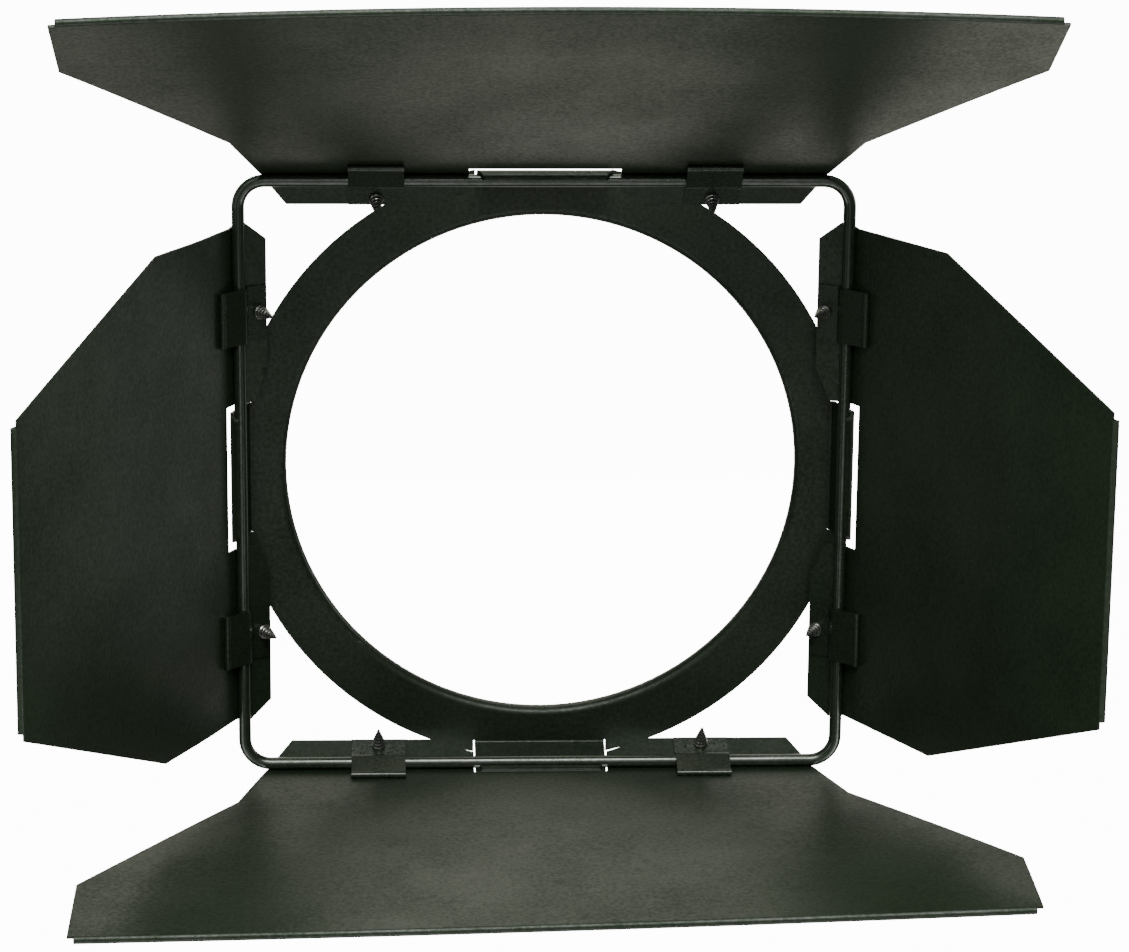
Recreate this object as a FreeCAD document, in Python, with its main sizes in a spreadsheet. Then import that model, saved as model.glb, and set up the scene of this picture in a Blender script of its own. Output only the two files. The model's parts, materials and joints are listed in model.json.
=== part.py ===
"""Barn door attachment for a stage lantern: ring plate, rod frame and four hinged leaves.

Millimetres. The origin is the centre of the ring plate's rear face. +Y points back to the
lantern, so the light leaves along -Y, and +Z is up.

Sheet-metal profiles are drawn in a plane that cuts the rod square. A direction in that plane
is an angle from +Z towards +Y, and a sheet face is a straight line at some offset from the
centre of the rod, square to such a direction.
"""

import math
import os
import re

import FreeCAD
import Part
import Sketcher

SIZES = [
    ("ring_half", 125.0, "outside radius of the ring plate"),
    ("ring_sheet", 1.5, "thickness of the ring plate"),
    ("aperture_half", 103.4, "radius of the beam opening inside the rolled lip"),
    ("lip_roll", 3.0, "front radius of the rolled lip"),
    ("lip_reach", 3.5, "how far the lip stands behind the plate"),
    ("rod_half", 2.5, "radius of the rod"),
    ("rod_square", 120.75, "half the side of the rod square, to the rod centre"),
    ("rod_corner", 10.5, "corner radius of the rod square, to the rod centre"),
    ("rod_depth", 18.0, "distance of the rod centre in front of the ring plate's rear face"),
    ("grip_gap", 0.1, "clearance between the rod and the sheet wrapped round it"),
    ("tab_slope", 19.4, "outward lean of the ring tabs, degrees"),
    ("tab_bend", 1.0, "inside radius where a tab leaves the ring plate"),
    ("tab_curl", 95.0, "angle a tab wraps round the rod, degrees"),
    ("tab_root_half", 26.8, "half width of a tab at the ring plate"),
    ("tab_edge_half", 23.0, "half width of a tab at its free edge"),
    ("tab_gap", 0.2, "clearance between a tab and the rod"),
    ("notch_half", 27.3, "half width of the notch a tab is folded out of"),
    ("leaf_sheet", 1.0, "thickness of the leaves"),
    ("leaf_reach", 162.5, "rod centre to the outer edge of a leaf"),
    ("flange_fold", 33.0, "angle the flange is folded towards the rod, degrees"),
    ("flange_reach", 13.7, "length of the flange past the fold"),
    ("flange_low", 13.5, "depth of the folded flange below the rod centre"),
    ("root_up", 2.0, "height where the leaf reaches its root width"),
    ("hem_return", 8.0, "width of the hem on the outer edge"),
    ("hem_roll", 1.5, "outside radius of the hem"),
    ("hem_short", 2.5, "how far the hem stops short of each corner"),
    ("window_half", 30.0, "half width of the centre cut-out over the tab"),
    ("bottom_window_half", 27.3, "the same for the bottom leaf"),
    ("window_up", 6.4, "height of the centre cut-out"),
    ("bottom_window_up", 4.9, "the same for the bottom leaf"),
    ("sweep_half", 90.0, "radius that trims the inner ends of the flange"),
    ("sweep_low", 92.8, "centre of that radius, along the flange from the fold"),
    ("large_root_half", 112.3, "large leaf: half width at the root"),
    ("large_bend_half", 111.0, "large leaf: half width where the flange's chamfer starts"),
    ("large_bend_low", 1.5, "large leaf: depth where the flange's chamfer starts"),
    ("large_flange_half", 101.6, "large leaf: half width of the flange at its free edge"),
    ("large_waist_half", 122.5, "large leaf: half width at the waist"),
    ("large_waist_up", 36.0, "large leaf: height of the waist"),
    ("large_wide_half", 180.7, "large leaf: greatest half width"),
    ("large_wide_up", 114.5, "large leaf: height where the greatest width starts"),
    ("side_root_half", 101.5, "side leaf: half width at the root"),
    ("side_bend_half", 103.2, "side leaf: half width where the flange's chamfer starts"),
    ("side_bend_low", 5.0, "side leaf: depth where the flange's chamfer starts"),
    ("side_flange_half", 95.4, "side leaf: half width of the flange at its free edge"),
    ("side_wide_half", 102.0, "side leaf: greatest half width"),
    ("side_wide_up", 59.0, "side leaf: height where the taper starts"),
    ("side_edge_half", 60.4, "side leaf: half width at the outer edge"),
    ("strap_sheet", 0.8, "thickness of the hinge straps"),
    ("strap_half", 11.0, "half width of a hinge strap"),
    ("strap_place", 66.4, "distance of a strap from the middle of its leaf"),
    ("strap_enter", 68.3, "direction in which the strap first meets the rod, degrees"),
    ("strap_leave", 120.0, "direction in which the strap leaves the rod, degrees"),
    ("strap_arm", 10.65, "length of the strap from the rod to its bead"),
    ("strap_foot", 13.3, "end of the strap's foot, along the flange from the fold"),
    ("bead_half", 1.35, "radius of the bead at the end of the strap"),
    ("bead_drop", 1.15, "distance of the bead's centre from the rod's, towards the leaf"),
    ("tongue_up", 11.0, "height of the bead and of the tongue that passes through the leaf"),
    ("tongue_reach", 5.0, "how far the tongue reaches, square to the leaf, from the rod centre"),
    ("slit_gap", 0.25, "clearance of the slit round the tongue"),
    ("screw_along", 10.4, "screw position along the flange from the fold"),
    ("screw_half", 2.4, "radius of the screw"),
    ("screw_hole_half", 2.45, "radius of the screw holes"),
    ("screw_straight", 5.2, "length of the full-width shank"),
    ("screw_reach", 12.8, "length from under the head to the point"),
    ("head_half", 3.5, "radius of the screw head"),
    ("head_tall", 2.4, "height of the screw head"),
    ("head_round", 1.5, "rounding of the screw head"),
    ("top_opening", 60.0, "rest angle of the top leaf, from flat outwards, degrees"),
    ("bottom_opening", 89.0, "rest angle of the bottom leaf, degrees"),
    ("left_opening", 63.0, "rest angle of the left leaf, degrees"),
    ("right_opening", 60.5, "rest angle of the right leaf, degrees"),
]
NAMES = re.compile(r"\b(" + "|".join(name for name, _, _ in SIZES) + r")\b")

X_AXIS = FreeCAD.Vector(1, 0, 0)
Y_AXIS = FreeCAD.Vector(0, 1, 0)
Z_AXIS = FreeCAD.Vector(0, 0, 1)

GRIP = "(rod_half + grip_gap)"
HOOK = "(rod_half + tab_gap)"
FOLD = "(90 + flange_fold)"

doc = FreeCAD.newDocument("barn_door")
sheet = doc.addObject("Spreadsheet::Sheet", "Sizes")


def fill_sheet():
    """Write every driving dimension into the sheet, one row each."""
    for row, (name, number, note) in enumerate(SIZES, start=1):
        sheet.set(f"A{row}", name)
        sheet.set(f"B{row}", str(number))
        sheet.setAlias(f"B{row}", name)
        sheet.set(f"C{row}", note)
    doc.recompute()


def bound(expression):
    """Point every size named in an expression at the sheet."""
    return NAMES.sub(r"Sizes.\1", expression)


def value(expression):
    """Work an expression out with the sizes now in the sheet."""
    return float(sheet.evalExpression(bound(expression)))


def add_body(label):
    """Start one sub-part."""
    body = doc.addObject("PartDesign::Body", label)
    body.Label = label
    return body


def origin_feature(body, role):
    """Find one of the body's own planes or axes."""
    return next(item for item in body.Origin.OriginFeatures if item.Role == role)


def add_sketch(body, plane, name):
    """Start a sketch on one of the body's own planes."""
    sketch = body.newObject("Sketcher::SketchObject", name)
    sketch.AttachmentSupport = [(origin_feature(body, plane), "")]
    sketch.MapMode = "FlatFace"
    return sketch


def add_flange_sketch(body, name):
    """Start a sketch through the rod centre and parallel to the flange, with -y along it."""
    sketch = add_sketch(body, "XZ_Plane", name)
    sketch.setExpression("AttachmentOffset.Rotation.Angle", bound("flange_fold"))
    sketch.AttachmentOffset = FreeCAD.Placement(
        FreeCAD.Vector(), FreeCAD.Rotation(-X_AXIS, value("flange_fold")))
    return sketch


def tie(sketch, constraint, expression):
    """Add a constraint whose value follows an expression."""
    index = sketch.addConstraint(constraint)
    sketch.setExpression(f"Constraints[{index}]", bound(expression))


def outline(sketch, corners, arcs=None):
    """Draw a closed loop through the corners.

    arcs maps the number of a side to its centre, radius and turn (+1 is anticlockwise);
    every other side is straight.
    """
    arcs = arcs or {}
    first = sketch.GeometryCount
    points = [FreeCAD.Vector(value(x), value(y), 0) for x, y in corners]
    ends = []
    for side, start in enumerate(points):
        stop = points[(side + 1) % len(points)]
        if side in arcs:
            turn = add_arc(sketch, start, stop, arcs[side])
            ends.append((1, 2) if turn > 0 else (2, 1))
        else:
            sketch.addGeometry(Part.LineSegment(start, stop))
            ends.append((1, 2))
    for side, corner in enumerate(corners):
        after = (side + 1) % len(corners)
        sketch.addConstraint(Sketcher.Constraint(
            "Coincident", first + side, ends[side][1], first + after, ends[after][0]))
        for kind, expression in zip(("DistanceX", "DistanceY"), corner):
            tie(sketch, Sketcher.Constraint(
                kind, -1, 1, first + side, ends[side][0], value(expression)), expression)
        if side in arcs:
            chord = points[after] - points[side]
            kind, middle = (("DistanceY", arcs[side][1]) if abs(chord.x) > abs(chord.y)
                            else ("DistanceX", arcs[side][0]))
            tie(sketch, Sketcher.Constraint(kind, -1, 1, first + side, 3, value(middle)), middle)


def add_arc(sketch, start, stop, arc):
    """Add one arc side and return its turn."""
    x, y, radius, turn = arc
    middle = FreeCAD.Vector(value(x), value(y), 0)
    begin, end = (start, stop) if turn > 0 else (stop, start)
    low = math.atan2(begin.y - middle.y, begin.x - middle.x)
    high = math.atan2(end.y - middle.y, end.x - middle.x)
    if high < low:
        high += 2 * math.pi
    circle = Part.Circle(middle, Z_AXIS, value(radius))
    sketch.addGeometry(Part.ArcOfCircle(circle, low, high))
    return turn


def add_circle(sketch, x, y, radius):
    """Draw a full circle."""
    centre = FreeCAD.Vector(value(x), value(y), 0)
    item = sketch.addGeometry(Part.Circle(centre, Z_AXIS, value(radius)))
    tie(sketch, Sketcher.Constraint("DistanceX", -1, 1, item, 3, value(x)), x)
    tie(sketch, Sketcher.Constraint("DistanceY", -1, 1, item, 3, value(y)), y)
    tie(sketch, Sketcher.Constraint("Radius", item, value(radius)), radius)


def box_outline(sketch, left, right, low, high):
    """Draw a rectangle."""
    outline(sketch, [(left, low), (right, low), (right, high), (left, high)])


def mirrored(corners):
    """Continue a loop drawn up the right-hand side down the left-hand side."""
    return corners + [(f"-({x})", y) for x, y in reversed(corners)]


def pad(body, name, sketch, length):
    """Thicken a sketch equally to both sides of its plane."""
    item = body.newObject("PartDesign::Pad", name)
    item.Profile = sketch
    item.SideType = "Symmetric"
    item.setExpression("Length", bound(length))
    return item


def cut_through(body, name, sketch):
    """Cut a sketch right through the body, both ways from its plane."""
    item = body.newObject("PartDesign::Pocket", name)
    item.Profile = sketch
    item.SideType = "Symmetric"
    item.Type = "ThroughAll"
    return item


def revolve(body, name, sketch):
    """Turn a sketch once round its own vertical axis."""
    item = body.newObject("PartDesign::Revolution", name)
    item.Profile = sketch
    item.ReferenceAxis = (sketch, ["V_Axis"])
    item.Angle = 360
    return item


def on_face(angle, offset, along="0", centre=("0", "0")):
    """Point on the line square to a direction, at an offset from a centre."""
    return (f"{centre[0]} + {offset} * sin({angle}) + ({along}) * cos({angle})",
            f"{centre[1]} + {offset} * cos({angle}) - ({along}) * sin({angle})")


def crossing(angle, offset, other_angle, other_offset):
    """Point where two such lines round the rod centre meet."""
    spread = f"sin({angle} - {other_angle})"
    return (f"({offset} * cos({other_angle}) - {other_offset} * cos({angle})) / {spread}",
            f"({other_offset} * sin({angle}) - {offset} * sin({other_angle})) / {spread}")


def build_ring():
    """Flat ring with a lip rolled back round the opening and four tabs round the rod."""
    body = add_body("ring_plate")
    profile = add_sketch(body, "XY_Plane", "RingProfile")
    roll_x = "aperture_half + lip_roll"
    roll_y = "lip_roll - ring_sheet"
    inner_roll = "lip_roll - ring_sheet"
    outline(profile, [
        ("ring_half", "-ring_sheet"), ("ring_half", "0"), (roll_x, "0"),
        ("aperture_half + ring_sheet", roll_y), ("aperture_half + ring_sheet", "lip_reach"),
        ("aperture_half", "lip_reach"), ("aperture_half", roll_y), (roll_x, "-ring_sheet"),
    ], {2: (roll_x, roll_y, inner_roll, -1), 6: (roll_x, roll_y, "lip_roll", 1)})
    revolve(body, "Ring", profile)
    doc.recompute()

    bend_z = ("(rod_square - (rod_depth - ring_sheet - tab_bend) * tan(tab_slope)"
              f" + ({HOOK} - tab_bend) / cos(tab_slope))")
    notch = add_sketch(body, "XZ_Plane", "NotchOutline")
    box_outline(notch, "-notch_half", "notch_half", bend_z, "ring_half + 5")
    notch_cut = cut_through(body, "Notch", notch)
    doc.recompute()

    bend = ("-(ring_sheet + tab_bend)", bend_z)
    rod = ("-rod_depth", "rod_square")
    back_of_curl = f"({HOOK} + ring_sheet)"
    edge = "(tab_slope - tab_curl)"
    fold = add_sketch(body, "YZ_Plane", "TabProfile")
    outline(fold, [
        ("0", f"{bend_z} - 1"), ("0", bend_z),
        on_face("tab_slope", "(tab_bend + ring_sheet)", centre=bend),
        on_face("tab_slope", back_of_curl, centre=rod), on_face(edge, back_of_curl, centre=rod),
        on_face(edge, HOOK, centre=rod), on_face("tab_slope", HOOK, centre=rod),
        on_face("tab_slope", "tab_bend", centre=bend),
        ("-ring_sheet", bend_z), ("-ring_sheet", f"{bend_z} - 1"),
    ], {1: (*bend, "tab_bend + ring_sheet", 1), 3: (*rod, back_of_curl, 1),
        5: (*rod, HOOK, -1), 7: (*bend, "tab_bend", -1)})
    tab = pad(body, "Tab", fold, "2 * tab_root_half")
    doc.recompute()

    taper = add_sketch(body, "XY_Plane", "TabTaper")
    front = "-(rod_depth + 5)"
    root = "-rod_depth"
    for sign in ("", "-"):
        outline(taper, [(f"{sign}tab_edge_half", front), (f"{sign}(tab_root_half + 4)", front),
                        (f"{sign}(tab_root_half + 4)", root), (f"{sign}tab_root_half", root)])
    taper_cut = cut_through(body, "Taper", taper)
    doc.recompute()

    pattern = body.newObject("PartDesign::PolarPattern", "FourTabs")
    pattern.Originals = [notch_cut, tab, taper_cut]
    pattern.Axis = (origin_feature(body, "Y_Axis"), [""])
    pattern.Angle = 360
    pattern.Occurrences = 4
    body.Tip = pattern
    doc.recompute()
    return body


def build_rod():
    """Square frame of bent rod that the tabs hold in front of the ring."""
    body = add_body("wire_frame")
    path = add_sketch(body, "XZ_Plane", "RodPath")
    path.AttachmentOffset = FreeCAD.Placement(
        FreeCAD.Vector(0, 0, value("rod_depth")), FreeCAD.Rotation())
    path.setExpression("AttachmentOffset.Base.z", bound("rod_depth"))
    far = "rod_square"
    near = "(rod_square - rod_corner)"
    outline(path, [
        ("0", far), (f"-{near}", far), (f"-{far}", near), (f"-{far}", f"-{near}"),
        (f"-{near}", f"-{far}"), (near, f"-{far}"), (far, f"-{near}"), (far, near), (near, far),
    ], {1: (f"-{near}", near, "rod_corner", 1), 3: (f"-{near}", f"-{near}", "rod_corner", 1),
        5: (near, f"-{near}", "rod_corner", 1), 7: (near, near, "rod_corner", 1)})
    section = add_sketch(body, "YZ_Plane", "RodSection")
    add_circle(section, "-rod_depth", far, "rod_half")
    doc.recompute()
    rod = body.newObject("PartDesign::AdditivePipe", "Rod")
    rod.Profile = section
    rod.Spine = (path, [])
    doc.recompute()
    return body


def build_leaf(label, size, shape, window):
    """Leaf: a sheet folded round the rod, hemmed outside, cut out over the tab.

    shape lists the corners up one edge above the root as half width and height; window names
    the cut-out's sizes.
    """
    body = add_body(label)
    outside = f"({GRIP} + leaf_sheet)"
    top = "(leaf_reach - hem_roll)"
    fold = add_sketch(body, "YZ_Plane", "Fold")
    outline(fold, [
        on_face(FOLD, GRIP, "flange_reach"), on_face(FOLD, GRIP), (GRIP, "0"), (GRIP, top),
        (outside, top), (outside, "0"), on_face(FOLD, outside),
        on_face(FOLD, outside, "flange_reach"),
    ], {1: ("0", "0", GRIP, 1), 5: ("0", "0", outside, -1)})
    pad(body, "Sheet", fold, "2 * large_wide_half + 10")
    doc.recompute()

    edges = add_sketch(body, "XZ_Plane", "Edges")
    outline(edges, mirrored([
        (f"{window}_half", f"{window}_up"), (f"{window}_half", "-flange_low"),
        (f"{size}_flange_half", "-flange_low"), (f"{size}_bend_half", f"-{size}_bend_low"),
        (f"{size}_root_half", "root_up"), *shape,
    ]))
    box_outline(edges, "-(large_wide_half + 20)", "large_wide_half + 20",
                "-(flange_low + 20)", "leaf_reach + 20")
    cut_through(body, "Trim", edges)
    doc.recompute()

    hem = add_sketch(body, "YZ_Plane", "HemProfile")
    middle = f"({GRIP} + hem_roll)"
    inner_roll = "(hem_roll - leaf_sheet)"
    back = f"({GRIP} + 2 * hem_roll)"
    low = "(leaf_reach - hem_return)"
    outline(hem, [
        (GRIP, f"{top} - 2"), (outside, f"{top} - 2"), (outside, top),
        (f"{back} - leaf_sheet", top), (f"{back} - leaf_sheet", low), (back, low),
        (back, top), (GRIP, top),
    ], {2: (middle, top, inner_roll, -1), 6: (middle, top, "hem_roll", 1)})
    pad(body, "Hem", hem, f"2 * ({shape[-1][0]} - hem_short)")
    doc.recompute()

    slits = add_sketch(body, "XZ_Plane", "SlitOutline")
    for sign in ("", "-"):
        middle = f"{sign}strap_place"
        box_outline(slits, f"{middle} - strap_half - slit_gap", f"{middle} + strap_half + slit_gap",
                    "tongue_up - strap_sheet / 2 - slit_gap", "tongue_up + strap_sheet / 2 + slit_gap")
    cut_through(body, "Slits", slits)
    doc.recompute()

    holes = add_flange_sketch(body, "FlangeCuts")
    add_circle(holes, "0", "-sweep_low", "sweep_half")
    for sign in ("", "-"):
        add_circle(holes, f"{sign}strap_place", "-screw_along", "screw_hole_half")
    cut_through(body, "FlangeHoles", holes)
    doc.recompute()
    return body


def build_strap(label):
    """Strap hooked through the leaf behind a bead, laid over the rod and down the flange."""
    body = add_body(label)
    outside = f"({GRIP} + strap_sheet)"
    enter = "(0 - strap_enter)"
    leave = "(0 - strap_leave)"
    foot_top = f"({GRIP} - strap_sheet)"
    bend = add_sketch(body, "YZ_Plane", "StrapProfile")
    outline(bend, [
        on_face(enter, GRIP, "strap_arm"), on_face(enter, GRIP), on_face(leave, GRIP),
        crossing(leave, GRIP, FOLD, GRIP), on_face(FOLD, GRIP, "strap_foot"),
        on_face(FOLD, foot_top, "strap_foot"), crossing(leave, outside, FOLD, foot_top),
        on_face(leave, outside), on_face(enter, outside),
        on_face(enter, outside, "strap_arm"),
    ], {1: ("0", "0", GRIP, 1), 7: ("0", "0", outside, -1)})
    pad(body, "Strap", bend, "2 * strap_half")
    doc.recompute()
    bead = add_sketch(body, "YZ_Plane", "BeadProfile")
    add_circle(bead, "bead_drop", "tongue_up", "bead_half")
    pad(body, "Bead", bead, "2 * strap_half")
    doc.recompute()
    tongue = add_sketch(body, "YZ_Plane", "TongueProfile")
    box_outline(tongue, "bead_drop", "tongue_reach",
                "tongue_up - strap_sheet / 2", "tongue_up + strap_sheet / 2")
    pad(body, "Tongue", tongue, "2 * strap_half")
    doc.recompute()
    hole = add_flange_sketch(body, "HoleOutline")
    add_circle(hole, "0", "-screw_along", "screw_hole_half")
    cut_through(body, "Hole", hole)
    doc.recompute()
    return body


def build_screw(label):
    """Pointed self-tapping screw with a rounded pan head; its point is on +Z."""
    body = add_body(label)
    profile = add_sketch(body, "XZ_Plane", "ScrewProfile")
    crown = "(head_half - head_round)"
    edge = "(head_round - head_tall)"
    outline(profile, [
        ("0", "screw_reach"), ("0", "-head_tall"), (crown, "-head_tall"), ("head_half", edge),
        ("head_half", "0"), ("screw_half", "0"), ("screw_half", "screw_straight"),
    ], {2: (crown, edge, "head_round", 1)})
    revolve(body, "Turned", profile)
    doc.recompute()
    return body


def door_place(turn, opening):
    """Placement of a leaf: its rod on one side of the square, opened by its rest angle."""
    hinge = FreeCAD.Placement(FreeCAD.Vector(0, -value("rod_depth"), value("rod_square")),
                              FreeCAD.Rotation(X_AXIS, value(opening)))
    return FreeCAD.Placement(FreeCAD.Vector(), FreeCAD.Rotation(Y_AXIS, turn)) * hinge


def build_door(name, size, shape, turn):
    """One leaf with its two straps and their screws, in place on the rod."""
    place = door_place(turn, f"{name}_opening")
    window = "bottom_window" if name == "bottom" else "window"
    leaf = build_leaf(f"{name}_leaf", size, shape, window)
    leaf.Placement = place
    seat_y, seat_z = on_face(FOLD, f"({GRIP} + leaf_sheet)", "screw_along")
    lean = FreeCAD.Rotation(X_AXIS, value("90 - flange_fold"))
    parts = [leaf]
    for end, sign in (("a", -1), ("b", 1)):
        along = sign * value("strap_place")
        strap = build_strap(f"{name}_strap_{end}")
        strap.Placement = place * FreeCAD.Placement(
            FreeCAD.Vector(along, 0, 0), FreeCAD.Rotation())
        screw = build_screw(f"{name}_screw_{end}")
        screw.Placement = place * FreeCAD.Placement(
            FreeCAD.Vector(along, value(seat_y), value(seat_z)), lean)
        parts += [strap, screw]
    return parts


def check(item):
    """Stop if a sub-part or anything inside it did not build."""
    for member in [item, *item.Group]:
        if {"Invalid", "Error"} & set(member.State):
            raise RuntimeError(f"{item.Label}: {member.Name} is {member.State}")
    shape = item.Shape
    if shape.isNull() or not shape.isValid() or len(shape.Solids) != 1:
        raise RuntimeError(f"{item.Label}: shape is not one valid solid")


def main():
    """Build every sub-part and write one file for each."""
    fill_sheet()
    large = [("large_waist_half", "large_waist_up"), ("large_wide_half", "large_wide_up"),
             ("large_wide_half", "leaf_reach")]
    small = [("side_wide_half", "side_wide_up"), ("side_edge_half", "leaf_reach")]
    parts = [build_ring(), build_rod()]
    for name, size, shape, turn in (("top", "large", large, 0), ("bottom", "large", large, 180),
                                    ("left", "side", small, -90), ("right", "side", small, 90)):
        parts += build_door(name, size, shape, turn)
    doc.recompute()
    os.makedirs("parts", exist_ok=True)
    for item in parts:
        check(item)
        item.Shape.exportStep(f"parts/{item.Label}.step")
        print(item.Label, round(item.Shape.Volume, 1))


main()
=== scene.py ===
"""Barn door attachment: satin black powder coat on folded sheet steel and bent rod.

The scene is in metres in the CAD frame: origin at the centre of the ring plate's rear face,
+Y back to the lantern, +Z up. The light would leave along -Y. Sizes and the places on a door
are in millimetres.
"""
import json
import math

import bmesh
import bpy
import numpy as np
from mathutils import Matrix, Vector


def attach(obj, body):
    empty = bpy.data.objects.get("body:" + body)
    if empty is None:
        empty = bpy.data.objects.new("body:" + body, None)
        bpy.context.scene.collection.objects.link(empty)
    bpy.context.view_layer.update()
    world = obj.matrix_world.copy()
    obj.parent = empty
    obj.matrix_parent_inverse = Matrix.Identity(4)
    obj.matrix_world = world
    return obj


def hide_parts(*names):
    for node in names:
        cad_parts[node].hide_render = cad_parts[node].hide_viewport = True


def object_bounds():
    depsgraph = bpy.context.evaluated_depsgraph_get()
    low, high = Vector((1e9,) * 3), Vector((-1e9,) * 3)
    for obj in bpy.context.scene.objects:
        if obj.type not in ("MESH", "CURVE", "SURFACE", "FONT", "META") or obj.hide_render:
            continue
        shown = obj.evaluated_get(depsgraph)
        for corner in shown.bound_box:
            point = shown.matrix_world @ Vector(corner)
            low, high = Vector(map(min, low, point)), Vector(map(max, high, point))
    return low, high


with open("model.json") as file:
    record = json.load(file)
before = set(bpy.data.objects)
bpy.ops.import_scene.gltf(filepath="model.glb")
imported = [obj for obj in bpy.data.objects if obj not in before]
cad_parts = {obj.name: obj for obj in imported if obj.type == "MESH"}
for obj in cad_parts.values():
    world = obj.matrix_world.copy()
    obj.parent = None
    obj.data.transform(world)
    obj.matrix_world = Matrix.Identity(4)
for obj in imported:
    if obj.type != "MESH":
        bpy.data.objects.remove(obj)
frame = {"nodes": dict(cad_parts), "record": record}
cad_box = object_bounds()

SIDES = ("top", "bottom", "left", "right")
HINGES = {joint["name"]: joint for joint in frame["record"]["behaviour"]["joints"]}

# Driving dimensions shared with the CAD, in millimetres and degrees.
ROD_HALF = 2.5
GRIP_GAP = 0.1
LEAF_SHEET = 1.0
LEAF_REACH = 162.5
FLANGE_FOLD = 33.0
SCREW_PLACE = 66.4
SCREW_ALONG = 10.4
SCREW_LENGTH = 12.8
HEAD_HALF = 3.5
HEAD_TALL = 2.4
HEAD_ROUND = 1.5
LEAF_OUTSIDE = ROD_HALF + GRIP_GAP + LEAF_SHEET


# --- colour and nodes -----------------------------------------------------------------------

def srgb(code):
    """Turn an sRGB hex colour into linear RGBA."""
    parts = [int(code[i:i + 2], 16) / 255 for i in (1, 3, 5)]
    return tuple(p / 12.92 if p <= 0.04045 else ((p + 0.055) / 1.055) ** 2.4 for p in parts) + (1.0,)


def new_material(name):
    """Start a node material and give it with its tree and its shader."""
    material = bpy.data.materials.new(name)
    material.use_nodes = True
    tree = material.node_tree
    return material, tree, tree.nodes["Principled BSDF"]


def node(tree, kind, inputs, stops=(), **settings):
    """Add one node with its settings and links.

    inputs maps a socket's name or number to a value or to another node's output. stops are a
    colour ramp's places and hex colours.
    """
    item = tree.nodes.new(kind)
    for key, setting in settings.items():
        setattr(item, key, setting)
    for key, source in inputs.items():
        socket = item.inputs[key]
        if isinstance(source, bpy.types.NodeSocket):
            tree.links.new(source, socket)
        else:
            socket.default_value = source
    for number, (place, code) in enumerate(stops):
        item.color_ramp.elements[number].position = place
        item.color_ramp.elements[number].color = srgb(code)
    return item


# --- finishes -------------------------------------------------------------------------------

# The orange peel of baked powder is about half a millimetre across, and is drawn three times as
# coarse, so that it shows. Slow clouds in the coat are about 45 mm across.
PEEL_MM = 1.6
PEEL_DEEP_MM = 0.2
CLOUDS_PER_METRE = 22.0
# Range of the mottle that the colours and the gloss are spread over, and the swing of the gloss.
MOTTLE_LOW = 0.36
MOTTLE_HIGH = 0.64
GLOSS_LOW = 0.35
GLOSS_HIGH = 0.65
GLOSS_SWING = 0.09
SHEEN = ("#c6d8bf", "#ffffff")


def mottled_finish(name, dark, light, rough, peel, index=1.5, metal=0.0):
    """A thin finish on steel whose colour, gloss and sheen share one fine mottle.

    mottle = 0.6 * peel noise + 0.4 * cloud noise. Where it is high the coat is lighter and
    glossier; where it is low the sheen has a faint green cast. The peel alone gives the relief,
    and peel is its strength.
    """
    material, tree, shader = new_material(name)
    place = node(tree, "ShaderNodeTexCoord", {}).outputs["Object"]
    grain = node(tree, "ShaderNodeTexNoise", {"Vector": place, "Scale": 1000 / PEEL_MM,
                                              "Detail": 3.0, "Roughness": 0.65}).outputs["Fac"]
    cloud = node(tree, "ShaderNodeTexNoise", {"Vector": place, "Scale": CLOUDS_PER_METRE,
                                              "Detail": 5.0, "Roughness": 0.6}).outputs["Fac"]
    mottle = node(tree, "ShaderNodeMath", {0: grain, 1: 0.6}, operation="MULTIPLY").outputs[0]
    mottle = node(tree, "ShaderNodeMath", {0: cloud, 1: 0.4, 2: mottle},
                  operation="MULTIPLY_ADD").outputs[0]
    colour, sheen = (
        node(tree, "ShaderNodeValToRGB", {"Fac": mottle},
             stops=((MOTTLE_LOW, low), (MOTTLE_HIGH, high))).outputs["Color"]
        for low, high in ((dark, light), SHEEN))
    gloss = node(tree, "ShaderNodeMapRange", {"Value": mottle,
                                              "From Min": GLOSS_LOW, "From Max": GLOSS_HIGH,
                                              "To Min": rough + GLOSS_SWING,
                                              "To Max": rough - GLOSS_SWING}).outputs["Result"]
    relief = node(tree, "ShaderNodeBump", {"Height": grain, "Strength": peel,
                                           "Distance": PEEL_DEEP_MM / 1000}).outputs["Normal"]
    for socket, source in (("Base Color", colour), ("Specular Tint", sheen), ("Roughness", gloss),
                           ("Normal", relief)):
        tree.links.new(source, shader.inputs[socket])
    shader.inputs["IOR"].default_value = index
    shader.inputs["Metallic"].default_value = metal
    return material


# Powder sprayed and baked on sheet steel: a very dark green-black body with a broad soft sheen.
LEAF_COAT = mottled_finish("satin_black_powder_coat_leaf", "#111d10", "#242f20", 0.40, peel=0.35)
RING_COAT = mottled_finish("satin_black_powder_coat_ring", "#0f1a0f", "#212c1c", 0.40, peel=0.35)
# The same powder, rubbed smooth by the leaves that turn on it: a narrow bright line along the rod.
ROD_COAT = mottled_finish("satin_black_powder_coat_rod", "#121d11", "#252e22", 0.20, peel=0.12,
                          index=1.85)
# Baked enamel on strip steel: glossier than the leaf, with a bright line along the bead.
STRAP_COAT = mottled_finish("baked_black_enamel_strap", "#131d12", "#20291d", 0.25, peel=0.12,
                            index=1.6)
# Black oxide on hardened steel, worn through to the metal: grey glints on a dark thread.
SCREW_COAT = mottled_finish("worn_black_oxide_screw", "#7c7d78", "#b4b5af", 0.24, peel=0.04,
                            metal=0.9)


def dress(name, material):
    """Give a CAD node its finish."""
    mesh = frame["nodes"][name].data
    mesh.materials.clear()
    mesh.materials.append(material)


dress("ring_plate", RING_COAT)
dress("wire_frame", ROD_COAT)
for side in SIDES:
    for end in ("a", "b"):
        dress(f"{side}_strap_{end}", STRAP_COAT)


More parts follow.
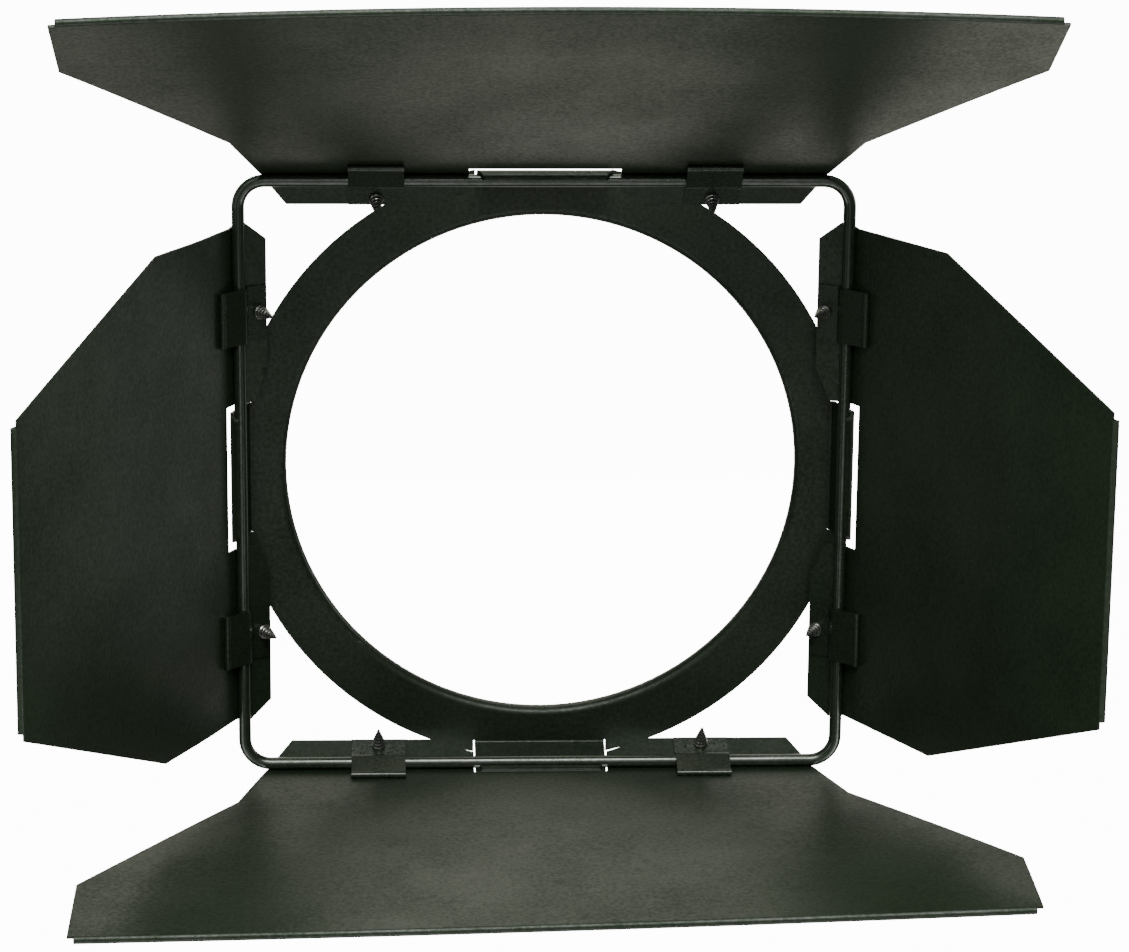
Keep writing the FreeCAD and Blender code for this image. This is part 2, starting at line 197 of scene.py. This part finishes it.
# --- places on a door -----------------------------------------------------------------------

def door_axes(side):
    """A door's rod centre and its axes at rest: along the rod, up the leaf, off its inner face."""
    hinge = HINGES[f"{side}_hinge"]
    rod = np.array(hinge["pos_m"])
    outward = np.array([rod[0], 0.0, rod[2]]) / math.hypot(rod[0], rod[2])
    front = np.array([0.0, -1.0, 0.0])
    # A hinge's lower limit is the leaf flat outwards.
    opening = math.radians(-hinge["range_deg"][0])
    leaf = math.cos(opening) * outward + math.sin(opening) * front
    inner = math.cos(opening) * front - math.sin(opening) * outward
    return rod, np.stack([np.array(hinge["axis"], float), leaf, inner])


def from_door(side, points_mm):
    """Door coordinates in millimetres to the frame in metres."""
    rod, axes = door_axes(side)
    return rod + (points_mm / 1000) @ axes


def to_door(side, points):
    """Frame coordinates in metres to door coordinates in millimetres."""
    rod, axes = door_axes(side)
    return 1000 * (points - rod) @ axes.T


def add_piece(name, mesh, material, body, replaced):
    """Add a mesh as a piece that rides on a body and stands for a CAD node."""
    mesh.materials.append(material)
    piece = bpy.data.objects.new(name, mesh)
    bpy.context.scene.collection.objects.link(piece)
    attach(piece, body)
    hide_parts(replaced)


# --- leaves ---------------------------------------------------------------------------------

# How far handling has sprung each sheet out of flat: droop, crown, curl and slide in millimetres,
# twist in degrees. The formula is in sprung_leaf.
SPRING = {
    "top": {"droop": 1.7, "crown": -4.4, "curl": 0.0, "twist": -0.30, "slide": 0.0},
    "bottom": {"droop": -0.5, "crown": -1.0, "curl": 2.4, "twist": -1.56, "slide": 0.0},
    "left": {"droop": 1.2, "crown": 0.0, "curl": 0.0, "twist": 0.25, "slide": -0.8},
    "right": {"droop": 0.3, "crown": 0.0, "curl": 0.0, "twist": 0.0, "slide": 0.0},
}
SPRING_FADE = 30.0
# Metres: corners this close are one, and a corner this close to a cut is on it.
MERGE = 2e-6
ON_CUT = 1e-7
CUTS_ACROSS = range(-176, 177, 11)
CUTS_UP = range(12, 160, 11)


def divided_leaf(side):
    """A merged copy of the CAD leaf, cut by planes 11 mm apart both ways so that it bends."""
    name = f"{side}_leaf"
    work = bmesh.new()
    work.from_mesh(frame["nodes"][name].data)
    bmesh.ops.remove_doubles(work, verts=work.verts, dist=MERGE)
    rod, axes = door_axes(side)
    for normal, steps in ((axes[0], CUTS_ACROSS), (axes[1], CUTS_UP)):
        for step in steps:
            geometry = work.verts[:] + work.edges[:] + work.faces[:]
            bmesh.ops.bisect_plane(work, geom=geometry, dist=ON_CUT, plane_no=normal,
                                   plane_co=rod + normal * step / 1000)
    mesh = bpy.data.meshes.new(name + "_sheet")
    work.to_mesh(mesh)
    work.free()
    return mesh


def sprung_leaf(side, droop, crown, curl, twist, slide):
    """The leaf's own sheet, sprung slightly out of flat.

    With s = x / half across, from -1 to 1, and v = u / reach up the leaf, the sheet turns about
    the rod by twist * s, slides by slide along it, both fading in over the first 30 mm, and moves
    off its inner face by (droop + crown * (1 - s^2)) * v^2 + curl * (1 - s) * 2 * v * (1 - v).
    """
    mesh = divided_leaf(side)
    points = np.empty(3 * len(mesh.vertices))
    mesh.vertices.foreach_get("co", points)
    x, up, off = to_door(side, points.reshape(-1, 3)).T
    across = x / np.abs(x).max()
    rise = np.clip(up / LEAF_REACH, 0.0, None)
    fade = np.clip(up / SPRING_FADE, 0.0, 1.0)
    fade = fade * fade * (3 - 2 * fade)
    turn = np.radians(twist) * across * fade
    x = x + slide * fade
    up, off = up * np.cos(turn) - off * np.sin(turn), up * np.sin(turn) + off * np.cos(turn)
    off = off + (droop + crown * (1 - across ** 2)) * rise ** 2
    off = off + curl * (1 - across) * 2 * rise * (1 - rise)
    mesh.vertices.foreach_set("co", from_door(side, np.column_stack([x, up, off])).ravel())
    add_piece(f"{side}_leaf_sheet", mesh, LEAF_COAT, f"{side}_door",
              f"{side}_leaf")


for side in SIDES:
    sprung_leaf(side, **SPRING[side])


# --- screws ---------------------------------------------------------------------------------

# The thread, on +Z from under the head. HOLE_TALL just clears the flange and the strap's foot.
HOLE_TALL = 2.0
HOLE_HALF = 2.3
CONE_HALF = 2.8
CONE_SWELL = 0.85
RIDGE_TALL = 0.3
RIDGE_PITCH = 1.6
RIDGE_STEEP = 4.5
POINT_HALF = 0.05
# The head, on -Z, and its cross recess.
SEAT_HALF = 3.2
SEAT_BEVEL = 0.1
RECESS_HALF = 1.95
RECESS_ARM_HALF = 0.45
RECESS_DEEP = 1.2


def closed_shell(radius, height, order=1):
    """Points and blocks of faces of rings round Z, closed by a pole at each end.

    radius and height are arrays [ring, column], and a point is (radius cos a, radius sin a,
    height) with a going once round over the columns. order is -1 where the rings run down Z.
    """
    rings, columns = radius.shape
    angle = np.linspace(0, 2 * np.pi, columns, endpoint=False)
    points = np.stack([radius * np.cos(angle), radius * np.sin(angle), height], axis=-1)
    first_pole = [[0.0, 0.0, height[0].mean()]]
    last_pole = [[0.0, 0.0, height[-1].mean()]]
    points = np.concatenate([first_pole, points.reshape(-1, 3), last_pole])
    here = 1 + np.arange(rings * columns).reshape(rings, columns)
    after = np.roll(here, -1, axis=1)
    quads = np.stack([here[:-1], after[:-1], after[1:], here[1:]], axis=-1).reshape(-1, 4)
    first = np.stack([np.zeros_like(here[0]), after[0], here[0]], axis=-1)
    last = np.stack([np.full_like(here[0], len(points) - 1), here[-1], after[-1]], axis=-1)
    return points, [block[:, ::order] for block in (quads, first, last)]


def thread_shell():
    """Self-tapping thread: radius = cone + ridge, both narrowing to the point.

    narrow falls evenly from 1 above the sheets to nearly 0 at the point. The cone is its half
    width times narrow^0.85, and the ridge its height times narrow times a triangle wave of
    height / pitch less the share of a turn. In the hole the shank is plain.
    """
    rings, columns = 96, 28
    height = np.linspace(0.0, SCREW_LENGTH, rings)[:, None] + np.zeros((1, columns))
    turn = np.arange(columns)[None, :] / columns
    narrow = np.clip((SCREW_LENGTH - height) / (SCREW_LENGTH - HOLE_TALL), 0.02, 1.0)
    wave = np.mod(height / RIDGE_PITCH - turn, 1.0)
    ridge = np.clip(1.0 - np.abs(wave - 0.5) * RIDGE_STEEP, 0.0, 1.0)
    radius = CONE_HALF * narrow ** CONE_SWELL + RIDGE_TALL * ridge * narrow
    radius = np.where(height < HOLE_TALL, HOLE_HALF, radius)
    radius[-1] = POINT_HALF
    return closed_shell(radius, height)


def head_shell():
    """Pan head: seat, quarter-round edge and flat crown, sunk where either recess arm passes.

    A point is in an arm where |x| or |y| is under the arm's half width, inside the recess's
    radius, on the crown.
    """
    columns, crown_rings = 48, 13
    crown_half = HEAD_HALF - HEAD_ROUND
    edge = np.radians(np.linspace(0.0, 90.0, 7))
    profile = np.concatenate([[SEAT_HALF, HEAD_HALF], crown_half + HEAD_ROUND * np.cos(edge),
                              np.linspace(crown_half - 0.1, 0.1, crown_rings)])
    drop = np.concatenate([[0.0, -SEAT_BEVEL],
                           HEAD_ROUND - HEAD_TALL - HEAD_ROUND * np.sin(edge),
                           np.full(crown_rings, -HEAD_TALL)])
    radius = profile[:, None] * np.ones((1, columns))
    height = drop[:, None] * np.ones((1, columns))
    angle = np.linspace(0, 2 * np.pi, columns, endpoint=False)
    arm = np.minimum(np.abs(radius * np.cos(angle)), np.abs(radius * np.sin(angle))) < RECESS_ARM_HALF
    sunk = arm & (radius < RECESS_HALF) & (height < 0.1 - HEAD_TALL)
    height = np.where(sunk, height + RECESS_DEEP, height)
    points, blocks = closed_shell(radius, height, order=-1)
    points[-1, 2] = RECESS_DEEP - HEAD_TALL
    return points, blocks


def add_screw(side, end, sign):
    """One screw through the flange: its head outside and its point on the beam side."""
    thread, thread_blocks = thread_shell()
    head, head_blocks = head_shell()
    blocks = thread_blocks + [block + len(thread) for block in head_blocks]
    fold = math.radians(FLANGE_FOLD)
    across = np.array([1.0, 0.0, 0.0])
    flange_way = np.array([0.0, -math.cos(fold), math.sin(fold)])
    point_way = np.array([0.0, math.sin(fold), math.cos(fold)])
    seat = sign * SCREW_PLACE * across + SCREW_ALONG * flange_way - LEAF_OUTSIDE * point_way
    points = seat + np.concatenate([thread, head]) @ np.stack([across, -flange_way, point_way])
    name = f"{side}_screw_{end}"
    mesh = bpy.data.meshes.new(name + "_threaded")
    mesh.from_pydata(from_door(side, points).tolist(), [],
                     [face for block in blocks for face in block.tolist()])
    add_piece(name + "_threaded", mesh, SCREW_COAT, f"{side}_door", name)


for side in SIDES:
    add_screw(side, "a", -1)
    add_screw(side, "b", 1)


# --- camera ---------------------------------------------------------------------------------

CAMERA_PLACE = (-0.06055, -1.4897, 0.3971)
CAMERA_YAW = 0.047
CAMERA_PITCH = -0.263
CAMERA_ROLL = 0.009
CAMERA_LENS_MM = 121.1


def look_matrix(place, yaw, pitch, roll):
    """Camera axes: forward from yaw and pitch, then the picture turned by roll about it."""
    forward = np.array([math.sin(yaw) * math.cos(pitch), math.cos(yaw) * math.cos(pitch),
                        math.sin(pitch)])
    right = np.array([math.cos(yaw), -math.sin(yaw), 0.0])
    up = np.cross(right, forward)
    right, up = (math.cos(roll) * right + math.sin(roll) * up,
                 math.cos(roll) * up - math.sin(roll) * right)
    rows = np.eye(4)
    rows[:3] = np.column_stack([right, up, -forward, place])
    return Matrix(rows.tolist())


def add_camera():
    """A camera a metre and a half in front, a little above the object."""
    lens = bpy.data.cameras.new("camera")
    lens.sensor_width = 36.0
    lens.lens = CAMERA_LENS_MM
    lens.clip_end = 50.0
    item = bpy.data.objects.new("camera", lens)
    bpy.context.scene.collection.objects.link(item)
    item.matrix_world = look_matrix(CAMERA_PLACE, CAMERA_YAW, CAMERA_PITCH, CAMERA_ROLL)
    bpy.context.scene.camera = item


# --- lights, floor and surroundings ---------------------------------------------------------

# Softboxes all round, since satin black shows little but what it reflects. Azimuth is in degrees
# from the camera side towards +X, then elevation in degrees and power in watts.
SOFTBOXES = {
    "overhead": (0, 80, 16),
    "front_high": (0, 50, 25),
    "front": (0, 15, 2),
    "front_low": (0, -25, 2),
    "under_front": (0, -60, 7.5),
    "under": (0, -88, 2),
    "low_right": (50, -35, 7.5),
    "low_left": (-50, -35, 5),
    "left_front": (-50, 10, 1.5),
    "left_high": (-50, 45, 1.7),
    "right": (118, 14, 4),
    "right_low": (123, -8, 0.9),
    "left": (250, 10, 1.2),
    "back_high": (180, 65, 1.2),
    "back_upper": (180, 40, 3.6),
    "back_level": (180, 12, 1.5),
    "back": (180, -12, 6),
    "back_low": (180, -35, 1.4),
    "back_low_right": (140, -40, 2.2),
    "back_low_left": (220, -40, 1.8),
    "back_under": (160, -54, 1.2),
}
SOFTBOX_SIZE = 0.9
SOFTBOX_DISTANCE = 1.7
SOFTBOX_AIM = Vector((0.0, -0.08, 0.0))
WARM_WHITE = "#fffbee"

FLOOR_HALF = 40
FLOOR_DROP = 0.30
FLOOR_GLOW = 13.0
SURROUND_GLOW = 0.06


def add_softbox(name, azimuth, elevation, watts):
    """Square softbox facing the object, hidden from the camera; those behind are a little warm."""
    lamp = bpy.data.lights.new(name, "AREA")
    lamp.shape = "SQUARE"
    lamp.size = SOFTBOX_SIZE
    lamp.energy = watts
    if name.startswith("back"):
        lamp.color = srgb(WARM_WHITE)[:3]
    item = bpy.data.objects.new(name, lamp)
    bpy.context.scene.collection.objects.link(item)
    turn, rise = math.radians(azimuth), math.radians(elevation)
    way = Vector((math.sin(turn) * math.cos(rise), -math.cos(turn) * math.cos(rise), math.sin(rise)))
    item.location = SOFTBOX_AIM + SOFTBOX_DISTANCE * way
    item.rotation_euler = (-way).to_track_quat("-Z", "Y").to_euler()
    item.visible_camera = False


def add_floor():
    """Plain pale floor, far larger than the view, that neither lights nor shades the object."""
    low = cad_box[0][2] - FLOOR_DROP
    mesh = bpy.data.meshes.new("floor")
    corners = [(FLOOR_HALF * x, FLOOR_HALF * y, low) for x, y in ((-1, -1), (1, -1), (1, 1), (-1, 1))]
    mesh.from_pydata(corners, [], [(0, 1, 2, 3)])
    item = bpy.data.objects.new("floor", mesh)
    bpy.context.scene.collection.objects.link(item)
    material, _, shader = new_material("pale_floor")
    shader.inputs["Base Color"].default_value = srgb("#f4f4f4")
    shader.inputs["Roughness"].default_value = 0.9
    shader.inputs["Emission Color"].default_value = srgb("#ffffff")
    shader.inputs["Emission Strength"].default_value = FLOOR_GLOW
    mesh.materials.append(material)
    item.visible_diffuse = False
    item.visible_glossy = False
    item.visible_shadow = False


def add_world():
    """Even, faint white surroundings."""
    world = bpy.data.worlds.new("studio")
    bpy.context.scene.world = world
    world.use_nodes = True
    back = world.node_tree.nodes["Background"]
    back.inputs["Color"].default_value = srgb("#ffffff")
    back.inputs["Strength"].default_value = SURROUND_GLOW


add_camera()
add_floor()
add_world()
for name, (azimuth, elevation, watts) in SOFTBOXES.items():
    add_softbox(name, azimuth, elevation, watts)
